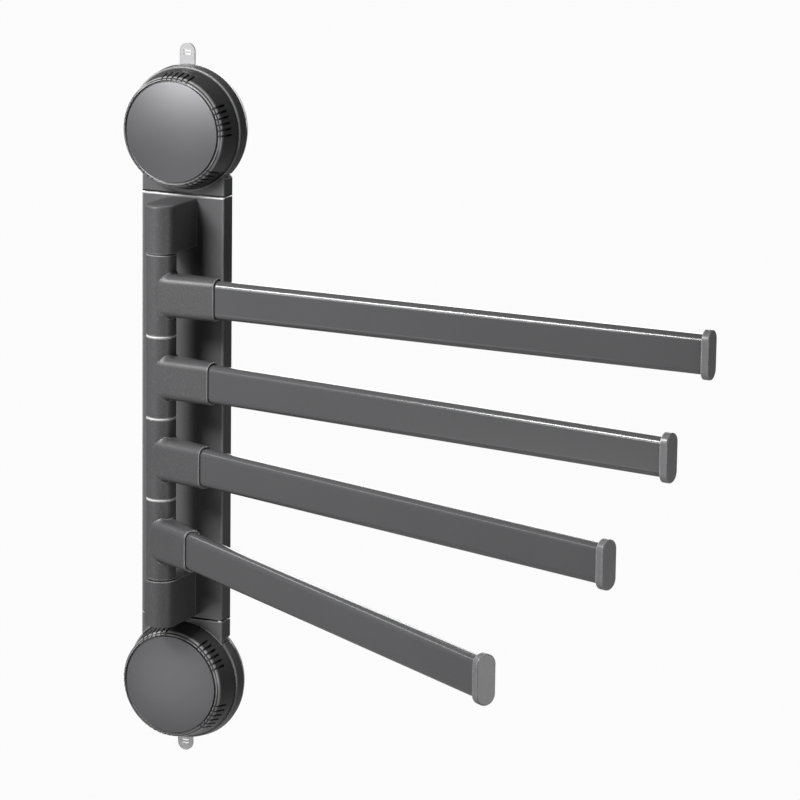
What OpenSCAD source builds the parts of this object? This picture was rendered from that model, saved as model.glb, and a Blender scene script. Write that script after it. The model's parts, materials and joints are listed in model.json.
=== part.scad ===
// Wall rack with four swivel arms and two screw-down suction mounts.
// Wall plane at y = 0, the rack stands out towards -Y, +X to the right, +Z up.
// The origin lies on the wall, midway between the two mounts.

/* [Mounts] */
// Distance from the seam to the centre of a mount
mount_reach = 39.2; // [38.8:0.1:60]
// Radius of the mount flange at its widest
flange_r = 38.4; // [36:0.1:44]
// Radius of the flange at its front shoulder
shoulder_r = 37.6; // [37:0.1:38.2]
// Rounding of the front shoulder
shoulder_round = 0.9; // [0.5:0.1:1.4]
// Radius of the flange at its back edge
flange_back_r = 37.6; // [37:0.1:38]
// Distance from the wall to the flange's widest circle
flange_wide_depth = 9; // [7:0.1:11]
// Distance from the wall to the flange's front
flange_front = 15.2; // [14.6:0.1:16.4]
// Outer radius of the ring that presses on the cup's rim
press_ring_r = 33; // [32:0.1:34]
// Number of ribs between the hub and the press ring
mount_ribs = 8; // [4:1:10]

/* [Strip] */
// Width of the strip
strip_w = 55.4; // [52:0.1:60]
// Distance from the wall to the strip's back edge
wall_gap = 5.7; // [5:0.1:7]
// Thickness of the strip from back edge to front face
strip_t = 11.2; // [10.5:0.1:13]
// Wall of the moulded shells
shell_wall = 2.2; // [1.8:0.1:2.4]
// Rounding of the strip's long front edges
strip_round = 1.2; // [0.6:0.1:1.6]
// Length of the middle panel
panel_len = 261.6; // [225:0.1:330]
// Gap of the seam between panel and tongue
seam_gap = 0.5; // [0.3:0.1:0.8]
// Bevel at the panel's ends
seam_bevel = 0.7; // [0.3:0.1:1]
// Thickness of the panel's ribs
rib_t = 1.6; // [1.2:0.1:2]
// Number of cross ribs in the panel
panel_ribs = 6; // [4:1:8]
// Size of the corner notch where a tongue meets its flange
notch = 2.6; // [1.5:0.1:3.5]

/* [Lap joint] */
// Length of the lap tab behind the panel
lap_len = 14; // [12:0.5:18]
// Thickness of the lap tab
lap_t = 2; // [1.6:0.1:2.4]
// Width of the lap tab
lap_w = 40; // [32:1:44]
// Distance between the two lap screws
lap_screw_pitch = 26; // [18:1:30]
// Radius of a lap screw boss
boss_r = 3; // [2.6:0.1:3.6]

/* [Screws] */
// Shank radius of the screws
screw_r = 1.5; // [1.3:0.1:1.8]
// Head radius of the screws
screw_head_r = 2.8; // [2.5:0.1:3.2]
// Head height of the screws
screw_head_h = 1.3; // [1:0.1:1.6]
// Length of screw shank that bites
screw_bite = 8; // [6:0.5:10]

/* [Knob] */
// Radius of the knob at its front rim
knob_r = 33; // [32:0.1:34]
// Radius of the knob's flared back edge
knob_base_r = 36.4; // [35:0.1:37]
// Distance from the wall to the knob's front rim
knob_front = 31.7; // [30:0.1:36]
// Running gap between the knob's skirt and the flange
knob_gap = 0.6; // [0.4:0.1:1]
// Wall of the knob's skirt
knob_wall = 2.4; // [2:0.1:3]
// Thickness of the knob's front web
knob_web = 2.2; // [1.8:0.1:3]
// Bevel of the knob's front rim
knob_bevel = 1.5; // [1:0.1:2]
// Radius of the knob's hub
knob_hub_r = 10; // [9:0.1:12]
// Number of ribs under the knob
knob_ribs = 6; // [4:1:8]
// Radius of the face disc
face_r = 30.7; // [29:0.1:31]
// Rise of the face disc's dome
face_dome = 1.3; // [0.6:0.1:2]
// Thickness of the face disc at its edge
face_t = 1.6; // [1.2:0.1:2]
// Gap round the face disc
face_gap = 0.6; // [0.4:0.1:0.8]
// Number of groove groups round the knob
groove_groups = 5; // [3:1:6]
// Grooves in one group
groove_count = 6; // [4:1:7]
// Angle between neighbouring grooves
groove_step = 6; // [4:0.1:7]
// Radius of a groove's floor
groove_r = 0.65; // [0.5:0.05:0.9]
// Length of the grooves behind the rim's bevel
groove_len = 8.7; // [6:0.1:12]
// Angle of the first groove group on the upper knob
upper_groove_angle = 15; // [0:1:71]
// Angle of the first groove group on the lower knob
lower_groove_angle = 39; // [0:1:71]

/* [Suction cup] */
// Outer radius of the suction cup
cup_r = 35; // [34:0.1:36]
// Thickness of the cup's sealing rim
cup_rim_t = 3.2; // [2.8:0.1:3.6]
// Width of the sealing rim's flat face
cup_seal_w = 5; // [4:0.1:6]
// Height of the cup's hollow at its centre
cup_hollow = 3.5; // [3.2:0.1:3.8]
// Thickness of the cup at its centre
cup_centre_t = 3.3; // [3.1:0.1:3.5]
// Width of the pull tab
tab_w = 10; // [8:0.5:14]
// Distance from the cup's centre to the tab's tip
tab_reach = 50; // [46:0.5:56]
// Sideways offset of the pull tab
tab_shift = 4.6; // [0:0.1:6]
// Thickness of the pull tab
tab_t = 1.6; // [1.2:0.1:2]
// Distance from the wall to the pull tab
tab_lift = 1.2; // [0.8:0.1:1.6]
// Length of a slot in the pull tab
tab_slot_len = 5; // [3:0.1:6]
// Width of a slot in the pull tab
tab_slot_w = 0.8; // [0.6:0.1:1.2]
// Distance between the two slots
tab_slot_pitch = 1.9; // [1.6:0.1:2.5]
// Distance from the tab's tip to the middle of the slots
tab_slot_drop = 5.6; // [5:0.1:8]

/* [Pull stud] */
// Radius of the threaded stud
stud_r = 4; // [3.5:0.1:4.5]
// Radius of the stud's flat head
stud_head_r = 8; // [7:0.1:9]
// Thickness of the stud's flat head
stud_head_t = 2.5; // [2:0.1:2.8]
// Depth at which the stud's head sits when the mount is tight
stud_head_depth = 4; // [3.8:0.1:4.2]
// Stud length from the back of its head
stud_len = 22; // [20:0.5:23]
// Radius of the brass nut in the knob
nut_r = 6.5; // [6:0.1:7.5]
// Length of the brass nut
nut_len = 8; // [6:0.1:8.5]
// Outer radius of the thrust washer
thrust_r = 12; // [10:0.1:14]
// Thickness of the thrust washer
thrust_t = 1; // [0.8:0.1:1.4]

/* [Pivot] */
// Distance from the wall to the pivot axis
pivot_depth = 44; // [40:0.5:52]
// Radius of the barrels
barrel_r = 9; // [8.5:0.1:9.5]
// Gap between neighbouring barrels
barrel_gap = 0.8; // [0.6:0.1:1.2]
// Edge bevel of the barrels
barrel_bevel = 0.35; // [0.2:0.05:0.5]
// Radius of the pivot rod
rod_r = 3; // [2.5:0.1:3.5]
// Outer radius of the bushes
bush_r = 5; // [4.5:0.1:5.5]
// Radius of the washers between the barrels
washer_r = 8.9; // [8:0.1:8.9]
// Radius of the washers at the brackets
end_washer_r = 7.2; // [6:0.1:8]
// Thickness of the washers
washer_t = 0.7; // [0.5:0.05:0.7]

/* [Brackets] */
// Radius of a bracket's round nose
bracket_r = 9.8; // [9.5:0.1:11]
// Height of a bracket
bracket_h = 29; // [26:0.5:30]
// Distance from the panel's end to the bracket
bracket_margin = 1.4; // [0.8:0.1:6]
// Edge rounding of a bracket's outer end
bracket_round = 1.4; // [0.8:0.1:2]
// Edge rounding of a bracket's inner end
bracket_inner_round = 0.5; // [0.3:0.1:1.4]
// How far the rod enters the upper bracket
rod_entry = 21; // [16:0.5:24]
// Radius of the plug below the rod
plug_r = 4.6; // [4.2:0.1:5.2]
// Thickness of the plug below the rod
plug_t = 4; // [3:0.1:6]
// Distance between the two screws of a bracket
bracket_screw_pitch = 15; // [12:0.5:17]

/* [Arms] */
// Distance from the pivot axis to the arm's tip
arm_reach = 355; // [250:1:420]
// Height of the tube
tube_h = 23; // [20:0.1:26]
// Thickness of the tube
tube_t = 9; // [8:0.1:9.6]
// Corner rounding of the tube
tube_round = 4; // [2.5:0.1:4]
// Wall of the tube
tube_wall = 1; // [0.8:0.1:1.4]
// Distance from the pivot axis to the sleeve's mouth
sleeve_reach = 38.5; // [34:0.5:46]
// Wall of the sleeve at its mouth
sleeve_wall = 1.3; // [1:0.1:1.6]
// Half width of the sleeve's taper at the pivot axis
sleeve_root_half = 8.9; // [8:0.1:8.9]
// Corner rounding of the sleeve
sleeve_round = 4.9; // [4:0.1:5.2]
// How far the tube enters the sleeve
tube_entry = 24; // [18:0.5:26]
// Width of the shadow groove round the tube at the mouth
mouth_gap = 0.5; // [0.3:0.05:0.7]
// Depth of the shadow groove at the mouth
mouth_gap_depth = 1.2; // [0.8:0.1:2]
// Length of the end cap's flange
cap_len = 4.6; // [3:0.1:6]
// How far the end cap's flange stands out beyond the tube's height
cap_lip = 2.9; // [2:0.1:4]
// Thickness of the end cap's flange across the arm
cap_t = 12.2; // [11.5:0.1:14]
// Bevel of the end cap
cap_bevel = 0.8; // [0.4:0.1:1.2]
// Length of the end cap's plug
cap_plug = 12; // [8:0.5:18]
// Swing of arm 1 out from the wall, as stored
arm_1_yaw = 2; // [0:0.1:60]
// Swing of arm 2 out from the wall, as stored
arm_2_yaw = 9.6; // [0:0.1:60]
// Swing of arm 3 out from the wall, as stored
arm_3_yaw = 18.8; // [0:0.1:60]
// Swing of arm 4 out from the wall, as stored
arm_4_yaw = 32.9; // [0:0.1:60]

/* [Clearances] */
// Radial clearance of turning and sliding fits
run_fit = 0.05; // [0.02:0.01:0.09]
// Clearance of parts that are set in and stay
set_fit = 0.02; // [0.01:0.01:0.05]
// Clearance round the tube in its sleeve
tube_fit = 0.1; // [0.05:0.01:0.15]
// Clearance of screws in their through holes
hole_fit = 0.2; // [0.1:0.05:0.3]
// Axial play of turning parts
end_play = 0.05; // [0.02:0.01:0.1]
// Clearance round the stud's head in the cup
cup_fit = 0.3; // [0.2:0.05:0.4]

/* [Hidden] */
$fn = 64;
// Facets of the blended sleeve
sleeve_fn = 32;
// Steps of the face disc's dome
dome_steps = 14;
// Overrun of every cut
over = 1;
// Number of arms
arms = 4;
arm_yaws = [arm_1_yaw, arm_2_yaw, arm_3_yaw, arm_4_yaw];

strip_front = wall_gap + strip_t;
strip_inner = strip_front - shell_wall;
flange_inner = flange_front - shell_wall;
tongue_end = panel_len / 2 + seam_gap;
mount_z = tongue_end + mount_reach;
// The brackets stand at the panel's ends, and the arms share the space between them
bracket_z = panel_len / 2 - bracket_margin - bracket_h;
barrels_half = bracket_z - barrel_gap / 2;
arm_pitch = 2 * barrels_half / arms;
barrel_h = arm_pitch - barrel_gap;
lap_depth = wall_gap + screw_head_h;
hub_r = stud_r + run_fit + shell_wall * 2;
knob_back = flange_front + knob_gap;
hub_back = flange_front + thrust_t + end_play * 2;
cup_front = cup_hollow + cup_centre_t;
face_seat = knob_front - face_t;
face_pocket_r = face_r + face_gap;
sleeve_half_t = tube_t / 2 + sleeve_wall;
sleeve_half_h = tube_h / 2 + sleeve_wall;
tube_start = sleeve_reach - tube_entry;
tube_end = arm_reach - cap_len;
cap_half_h = tube_h / 2 + cap_lip;
rod_top = bracket_z + rod_entry;
rod_bottom = -bracket_z - bracket_h + plug_t;
// Height of the arm with this index, 0 at the top
function arm_z(i) = barrels_half - arm_pitch * (i + 1 / 2);

// Turns local +Z to the direction away from the wall
module out_of_wall() { rotate([90, 0, 0]) children(); }

// Turns the upper mount's solids half round for the lower mount
module at_mount(lower) {
    rotate([0, lower ? 180 : 0, 0]) translate([0, 0, mount_z]) children();
}

// Rectangle with round corners
module round_rect(w, h, r) {
    square([w - 2 * r, h], center = true);
    square([w, h - 2 * r], center = true);
    for (sx = [-1, 1], sy = [-1, 1]) translate([sx * (w / 2 - r), sy * (h / 2 - r)]) circle(r);
}

// Cross-section of the strip, +Y towards the wall, with round front edges
module strip_section() {
    difference() {
        union() {
            translate([-strip_w / 2, -strip_front + strip_round]) square([strip_w, strip_t - strip_round]);
            translate([-strip_w / 2 + strip_round, -strip_front]) square([strip_w - 2 * strip_round, strip_t]);
            for (s = [-1, 1]) translate([s * (strip_w / 2 - strip_round), -strip_front + strip_round])
                circle(strip_round);
        }
        translate([-strip_w / 2 + shell_wall, -strip_inner]) square([strip_w - 2 * shell_wall, strip_t]);
    }
}

// Prism that bevels one front edge across the strip
module seam_cut() {
    translate([0, -strip_front, 0]) rotate([45, 0, 0])
        cube([strip_w + over, seam_bevel * sqrt(2), seam_bevel * sqrt(2)], center = true);
}

// Places children at both lap screws of the joint at the strip's upper end
module at_lap_screws() {
    for (s = [-1, 1]) translate([s * lap_screw_pitch / 2, 0, panel_len / 2 - lap_len / 2]) children();
}

// Places children at both screws of the upper bracket
module at_bracket_screws() {
    for (s = [-1, 1])
        translate([0, 0, bracket_z + bracket_h / 2 + s * bracket_screw_pitch / 2]) children();
}

// Mirrors what is drawn at the upper end to the lower end as well
module both_ends() {
    children();
    mirror([0, 0, 1]) children();
}

module middle_panel() {
    color("#6d6e71") difference() {
        union() {
            translate([0, 0, -panel_len / 2]) linear_extrude(panel_len) strip_section();
            // Ribs on the hidden side: one along the middle and several across
            panel_rib_area(rib_t, panel_len - 4 * lap_len);
            for (k = [0 : panel_ribs - 1])
                translate([0, 0, (k / (panel_ribs - 1) - 1 / 2) * (panel_len - 4 * lap_len)])
                    panel_rib_area(strip_w - shell_wall, rib_t);
            both_ends() at_lap_screws() out_of_wall()
                translate([0, 0, lap_depth + lap_t]) cylinder(r = boss_r, h = strip_inner - lap_depth - lap_t);
        }
        both_ends() translate([0, 0, panel_len / 2]) seam_cut();
        both_ends() at_lap_screws() out_of_wall() cylinder(r = screw_r + set_fit, h = strip_inner);
        both_ends() at_bracket_screws() out_of_wall() {
            cylinder(r = screw_r + hole_fit, h = strip_front + over);
            cylinder(r = screw_head_r + hole_fit, h = strip_inner);
        }
    }
}

// One rib of the panel, from the front wall to just short of the back edge
module panel_rib_area(w, h) {
    translate([-w / 2, -strip_inner, -h / 2]) cube([w, strip_t - shell_wall - rib_t, h]);
}

// Profile of the flange from the axis outwards, +Y away from the wall
module flange_profile() {
    polygon([[0, wall_gap], [flange_back_r, wall_gap], [flange_r, flange_wide_depth],
             [shoulder_r, flange_front - shoulder_round], [shoulder_r - shoulder_round, flange_front - shoulder_round],
             [shoulder_r - shoulder_round, flange_front], [0, flange_front]]);
    translate([shoulder_r - shoulder_round, flange_front - shoulder_round]) circle(shoulder_round);
}

module housing() {
    tongue_len = mount_z - tongue_end;
    notch_z = sqrt(flange_r * flange_r - strip_w * strip_w / 4);
    difference() {
        union() {
            out_of_wall() rotate_extrude() flange_profile();
            translate([0, 0, -tongue_len]) linear_extrude(tongue_len) strip_section();
            // End wall and lap tab of the tongue
            translate([-strip_w / 2 + shell_wall, -strip_inner, -tongue_len])
                cube([strip_w - 2 * shell_wall, strip_inner - lap_depth, shell_wall]);
            translate([-lap_w / 2, -lap_depth - lap_t, -tongue_len - lap_len])
                cube([lap_w, lap_t, lap_len + shell_wall]);
        }
        // Hollow of the flange, with its ring, hub and ribs left standing
        out_of_wall() difference() {
            cylinder(r = flange_back_r - shell_wall, h = flange_inner);
            difference() {
                cylinder(r = press_ring_r, h = flange_inner);
                cylinder(r = press_ring_r - rib_t, h = flange_inner);
            }
            cylinder(r = hub_r, h = flange_inner);
            for (k = [0 : mount_ribs - 1]) rotate([0, 0, 360 * k / mount_ribs])
                translate([hub_r - rib_t, -rib_t / 2, flange_front - strip_t / 2])
                    cube([press_ring_r - hub_r, rib_t, strip_t]);
        }
        // Clears the tongue's inside between its end wall and the flange
        translate([-strip_w / 2 + shell_wall, -flange_inner, -tongue_len + shell_wall])
            cube([strip_w - 2 * shell_wall, flange_inner, tongue_len - shell_wall - notch_z]);
        // The tongue stands proud of the flange and leaves room for the knob
        out_of_wall() translate([0, 0, flange_front]) cylinder(r = knob_base_r + knob_gap, h = strip_t);
        out_of_wall() cylinder(r = stud_r + run_fit, h = strip_front + over);
        // Room for the raised centre of the cup
        out_of_wall() cylinder(r = hub_r + shell_wall, h = cup_front + cup_fit);
        for (s = [-1, 1]) translate([s * strip_w / 2, 0, -notch_z]) rotate([0, 45, 0])
            cube([notch, 2 * (strip_front - strip_round * 2), notch], center = true);
        for (s = [-1, 1]) translate([s * lap_screw_pitch / 2, 0, -mount_z + panel_len / 2 - lap_len / 2])
            out_of_wall() cylinder(r = screw_r + hole_fit, h = lap_depth + lap_t + over);
    }
    // Press ring reaches back to the cup's rim
    out_of_wall() translate([0, 0, cup_rim_t]) difference() {
        cylinder(r = press_ring_r, h = flange_inner - cup_rim_t);
        translate([0, 0, -over]) cylinder(r = press_ring_r - rib_t, h = flange_inner - cup_rim_t + 2 * over);
    }
}

module suction_cup(lower) {
    side = lower ? 1 : -1;
    seal_r = cup_r - cup_seal_w;
    hole_r = stud_head_r + cup_fit;
    centre_r = hole_r + cup_centre_t;
    color([0.86, 0.88, 0.9, 0.6]) {
        out_of_wall() rotate_extrude()
            polygon([[hole_r, cup_hollow], [centre_r, cup_hollow], [seal_r, 0], [cup_r, 0],
                     [cup_r, cup_rim_t], [seal_r, cup_rim_t], [centre_r, cup_front], [hole_r, cup_front]]);
        translate([side * tab_shift, 0, 0]) out_of_wall() translate([0, 0, tab_lift]) difference() {
            union() {
                translate([-tab_w / 2, cup_r - cup_seal_w / 2])
                    cube([tab_w, tab_reach - tab_w / 2 - cup_r + cup_seal_w / 2, tab_t]);
                translate([0, tab_reach - tab_w / 2]) cylinder(r = tab_w / 2, h = tab_t);
            }
            for (s = [-1, 1])
                translate([-tab_slot_len / 2,
                           tab_reach - tab_slot_drop + s * tab_slot_pitch / 2 - tab_slot_w / 2, -over])
                    cube([tab_slot_len, tab_slot_w, tab_t + 2 * over]);
        }
    }
}

module pull_stud() {
    color("#b9bcc0") out_of_wall() translate([0, 0, stud_head_depth]) {
        cylinder(r = stud_head_r, h = stud_head_t);
        cylinder(r = stud_r, h = stud_len);
    }
}

module thrust_washer() {
    color("#e8e8e4") out_of_wall() translate([0, 0, flange_front + end_play]) difference() {
        cylinder(r = thrust_r, h = thrust_t);
        translate([0, 0, -over]) cylinder(r = stud_r + cup_fit, h = thrust_t + 2 * over);
    }
}

module knob_ring(angle) {
    inner_r = knob_r - knob_wall;
    color("#77787b") out_of_wall() difference() {
        union() {
            difference() {
                rotate_extrude() polygon([[0, knob_back], [knob_base_r, knob_back],
                    [knob_r, knob_front - knob_bevel], [face_pocket_r, knob_front], [face_pocket_r, face_seat],
                    [0, face_seat]]);
                translate([0, 0, knob_back - over]) cylinder(r = inner_r, h = face_seat - knob_web - knob_back + over);
            }
            translate([0, 0, hub_back]) cylinder(r = knob_hub_r, h = face_seat - hub_back);
            for (k = [0 : knob_ribs - 1]) rotate([0, 0, 360 * k / knob_ribs])
                translate([knob_hub_r - rib_t, -rib_t / 2, face_seat - knob_web - nut_len / 2])
                    cube([inner_r - knob_hub_r + 2 * rib_t, rib_t, nut_len / 2 + knob_web / 2]);
        }
        translate([0, 0, knob_back - over]) cylinder(r = nut_r + set_fit, h = hub_back + nut_len - knob_back + over);
        translate([0, 0, knob_back - over])
            cylinder(r = stud_r + cup_fit, h = stud_head_depth + stud_len + cup_fit - knob_back + over);
        for (g = [0 : groove_groups - 1], k = [0 : groove_count - 1])
            rotate([0, 0, angle + 360 * g / groove_groups + (k - (groove_count - 1) / 2) * groove_step])
                translate([knob_r, 0, knob_front - knob_bevel - groove_len]) groove();
    }
}

// Cutter of one grip groove: round floor, straight walls, open outwards
module groove() {
    cylinder(r = groove_r, h = knob_front, $fn = 24);
    translate([0, -groove_r, 0]) cube([knob_base_r - knob_r + over, 2 * groove_r, knob_front]);
}

module knob_nut() {
    color("#b08d4c") out_of_wall() translate([0, 0, hub_back]) difference() {
        cylinder(r = nut_r, h = nut_len - set_fit);
        translate([0, 0, -over]) cylinder(r = stud_r + run_fit, h = nut_len + 2 * over);
    }
}

module knob_face() {
    // Radius of the sphere whose cap has the disc's radius and rise
    dome_r = (face_r * face_r + face_dome * face_dome) / (2 * face_dome);
    dome_centre = knob_front + face_dome - dome_r;
    dome = [for (k = [0 : dome_steps]) let (r = face_r * (1 - k / dome_steps))
        [r, dome_centre + sqrt(dome_r * dome_r - r * r)]];
    color("#8b8c8f") out_of_wall() rotate_extrude() polygon(concat([[0, face_seat], [face_r, face_seat]], dome));
}

// Half section of a bracket across its middle plane, from the inner end at 0 to the outer end
module bracket_profile() {
    square([bracket_r - bracket_round, bracket_h]);
    square([bracket_r - bracket_inner_round, bracket_h - bracket_round]);
    translate([0, bracket_inner_round]) square([bracket_r, bracket_h - bracket_inner_round - bracket_round]);
    translate([bracket_r - bracket_inner_round, bracket_inner_round]) circle(bracket_inner_round);
    translate([bracket_r - bracket_round, bracket_h - bracket_round]) circle(bracket_round);
}

// Bracket standing on its inner end: a round nose, and a straight stem back to the strip
module bracket_block() {
    translate([0, -pivot_depth, 0]) rotate_extrude() bracket_profile();
    translate([0, -strip_front, 0]) out_of_wall() linear_extrude(pivot_depth - strip_front)
        for (s = [0, 1]) mirror([s, 0]) bracket_profile();
}

module bracket(lower) {
    color("#626366") difference() {
        mirror([0, 0, lower ? 1 : 0]) translate([0, 0, bracket_z]) bracket_block();
        mirror([0, 0, lower ? 1 : 0]) at_bracket_screws() out_of_wall()
            cylinder(r = screw_r + set_fit, h = strip_front + screw_bite + screw_r);
        translate([0, -pivot_depth, lower ? rod_bottom - plug_t - over : bracket_z - over])
            cylinder(r = rod_r + set_fit, h = lower ? bracket_h + 2 * over : rod_entry + over + end_play);
        if (lower) translate([0, -pivot_depth, rod_bottom - plug_t - over])
            cylinder(r = plug_r + set_fit, h = plug_t + over);
    }
}

module pivot_rod() {
    color("#c4c6c9") translate([0, -pivot_depth, rod_bottom]) cylinder(r = rod_r, h = rod_top - rod_bottom);
}

module rod_plug() {
    color("#4d4e50") translate([0, -pivot_depth, rod_bottom - plug_t]) cylinder(r = plug_r, h = plug_t - set_fit);
}

// Washers at the given heights, each centred in its gap
module washers(heights, r) {
    for (z = heights) translate([0, -pivot_depth, z - washer_t / 2]) difference() {
        cylinder(r = r, h = washer_t);
        translate([0, 0, -over]) cylinder(r = rod_r + run_fit, h = washer_t + 2 * over);
    }
}

module barrel_washers() {
    color("#f2f2ee") washers([for (i = [1 : arms - 1]) barrels_half - arm_pitch * i], washer_r);
}

module bracket_washers() {
    color("#3a3b3d") washers([barrels_half, -barrels_half], end_washer_r);
}

module screw(length) {
    cylinder(r = screw_head_r, h = screw_head_h);
    cylinder(r = screw_r, h = screw_head_h + length);
}

module bracket_screws() {
    color("#a9abae") both_ends() at_bracket_screws() out_of_wall()
        translate([0, 0, strip_inner - screw_head_h]) screw(shell_wall + screw_bite);
}

module lap_screws() {
    color("#a9abae") both_ends() at_lap_screws() out_of_wall()
        translate([0, 0, wall_gap]) screw(lap_t + strip_inner - lap_depth - lap_t - over);
}

// Places an arm's solids, which are drawn along +X from the pivot axis
module at_arm(i) {
    translate([0, -pivot_depth, arm_z(i)]) rotate([0, 0, -arm_yaws[i]]) children();
}

// Turns a cross-section so that it is extruded along +X, its width across the arm
module along_arm(start, length) {
    translate([start, 0, 0]) rotate([90, 0, 90]) linear_extrude(length) children();
}

module knuckle(i) {
    slice = sleeve_wall / 2;
    color("#69696c") at_arm(i) difference() {
        union() {
            rotate_extrude() {
                for (s = [0, 1]) mirror([0, s]) {
                    polygon([[0, 0], [barrel_r, 0], [barrel_r, barrel_h / 2 - barrel_bevel],
                             [barrel_r - barrel_bevel, barrel_h / 2], [0, barrel_h / 2]]);
                }
            }
            hull() {
                along_arm(0, slice) round_rect(2 * sleeve_root_half, 2 * sleeve_half_h, sleeve_round, $fn = sleeve_fn);
                along_arm(sleeve_reach - slice, slice)
                    round_rect(2 * sleeve_half_t, 2 * sleeve_half_h, sleeve_round, $fn = sleeve_fn);
            }
        }
        translate([0, 0, -barrel_h / 2 - over]) cylinder(r = bush_r + set_fit, h = barrel_h + 2 * over);
        along_arm(tube_start, tube_entry + over)
            round_rect(tube_t + 2 * tube_fit, tube_h + 2 * tube_fit, tube_round + tube_fit);
        along_arm(sleeve_reach - mouth_gap_depth, mouth_gap_depth + over)
            round_rect(tube_t + 2 * mouth_gap, tube_h + 2 * mouth_gap, tube_round + mouth_gap);
    }
}

module bush(i) {
    color("#e6e4dc") at_arm(i) translate([0, 0, -barrel_h / 2]) difference() {
        cylinder(r = bush_r, h = barrel_h);
        translate([0, 0, -over]) cylinder(r = rod_r + run_fit, h = barrel_h + 2 * over);
    }
}

module tube(i) {
    color("#5d5e61") at_arm(i) along_arm(tube_start, tube_end - tube_start) difference() {
        round_rect(tube_t, tube_h, tube_round);
        round_rect(tube_t - 2 * tube_wall, tube_h - 2 * tube_wall, tube_round - tube_wall);
    }
}

module end_cap(i) {
    r = cap_t / 2;
    z = cap_half_h - r;
    color("#88898c") at_arm(i) {
        for (s = [-1, 1]) translate([tube_end, 0, s * z]) rotate([0, 90, 0]) rotate_extrude()
            polygon([[0, 0], [r, 0], [r, cap_len - cap_bevel], [r - cap_bevel, cap_len], [0, cap_len]]);
        translate([tube_end, 0, -z]) linear_extrude(2 * z)
            polygon([[0, -r], [cap_len - cap_bevel, -r], [cap_len, -r + cap_bevel], [cap_len, r - cap_bevel],
                     [cap_len - cap_bevel, r], [0, r]]);
        along_arm(tube_end - cap_plug, cap_plug)
            round_rect(tube_t - 2 * tube_wall - 2 * tube_fit, tube_h - 2 * tube_wall - 2 * tube_fit,
                       tube_round - tube_wall - tube_fit);
    }
}

middle_panel();
color("#5b5c5f") at_mount(false) housing();  // upper_housing
color("#5b5c5f") at_mount(true) housing();  // lower_housing
at_mount(false) suction_cup(false);  // upper_suction_cup
at_mount(true) suction_cup(true);  // lower_suction_cup
at_mount(false) pull_stud();  // upper_pull_stud
at_mount(true) pull_stud();  // lower_pull_stud
at_mount(false) thrust_washer();  // upper_thrust_washer
at_mount(true) thrust_washer();  // lower_thrust_washer
at_mount(false) knob_ring(upper_groove_angle);  // upper_knob_ring
at_mount(true) knob_ring(lower_groove_angle);  // lower_knob_ring
at_mount(false) knob_nut();  // upper_knob_nut
at_mount(true) knob_nut();  // lower_knob_nut
at_mount(false) knob_face();  // upper_knob_face
at_mount(true) knob_face();  // lower_knob_face
bracket(false);  // upper_bracket
bracket(true);  // lower_bracket
pivot_rod();
rod_plug();
barrel_washers();
bracket_washers();
bracket_screws();
lap_screws();
knuckle(0);  // arm_1_knuckle
bush(0);  // arm_1_bush
tube(0);  // arm_1_tube
end_cap(0);  // arm_1_end_cap
knuckle(1);  // arm_2_knuckle
bush(1);  // arm_2_bush
tube(1);  // arm_2_tube
end_cap(1);  // arm_2_end_cap
knuckle(2);  // arm_3_knuckle
bush(2);  // arm_3_bush
tube(2);  // arm_3_tube
end_cap(2);  // arm_3_end_cap
knuckle(3);  // arm_4_knuckle
bush(3);  // arm_4_bush
tube(3);  // arm_4_tube
end_cap(3);  // arm_4_end_cap
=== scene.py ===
"""Finish and surroundings of a wall rack with four swivel arms, built around its fixed frame."""

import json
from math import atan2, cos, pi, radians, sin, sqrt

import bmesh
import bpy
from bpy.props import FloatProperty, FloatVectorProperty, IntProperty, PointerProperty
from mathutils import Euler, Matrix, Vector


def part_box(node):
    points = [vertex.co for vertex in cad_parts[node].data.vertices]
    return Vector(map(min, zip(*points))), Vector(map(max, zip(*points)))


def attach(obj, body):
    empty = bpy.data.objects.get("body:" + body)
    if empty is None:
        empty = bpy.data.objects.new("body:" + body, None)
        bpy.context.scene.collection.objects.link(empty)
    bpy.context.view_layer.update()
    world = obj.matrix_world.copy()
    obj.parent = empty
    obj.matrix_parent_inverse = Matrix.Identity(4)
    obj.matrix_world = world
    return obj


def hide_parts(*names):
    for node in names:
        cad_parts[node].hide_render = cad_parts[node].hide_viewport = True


bl_info = {
    "name": "Swivel Arm Rack",
    "version": (1, 0, 0),
    "blender": (4, 5, 0),
    "location": "View3D > Sidebar > Swivel Rack",
    "description": "Models the visible pieces of a wall rack with four swivel arms and finishes them",
    "category": "Add Mesh",
}

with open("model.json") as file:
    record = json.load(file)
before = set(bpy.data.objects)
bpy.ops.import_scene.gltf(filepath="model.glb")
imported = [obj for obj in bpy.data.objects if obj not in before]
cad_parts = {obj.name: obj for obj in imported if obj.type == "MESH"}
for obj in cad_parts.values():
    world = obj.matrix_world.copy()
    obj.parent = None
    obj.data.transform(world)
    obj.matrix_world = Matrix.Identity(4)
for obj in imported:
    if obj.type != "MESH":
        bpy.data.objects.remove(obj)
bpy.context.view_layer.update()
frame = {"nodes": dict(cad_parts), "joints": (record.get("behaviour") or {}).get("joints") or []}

MM = 0.001
ARMS = (1, 2, 3, 4)
MOUNTS = ("upper", "lower")

# Names of the numbers that the meshes hold for the materials
RIM_RUBBING_AND_HIGHLIGHT = "rim_wear"
RIM_PAINTED_SHADE = "rim_shade"

# Seams at the two ends of the middle panel, with the brightness of the painted highlight on the front edge
# under each; the lower one is painted dimmer, as if in shade
SEAM_GAP = 0.5 * MM
SEAM_WIDTH = 0.85 * MM
SEAM_SOFTNESS = 0.1 * MM
SEAM_PAINTED_HIGHLIGHT = (0.85, 0.24)

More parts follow.
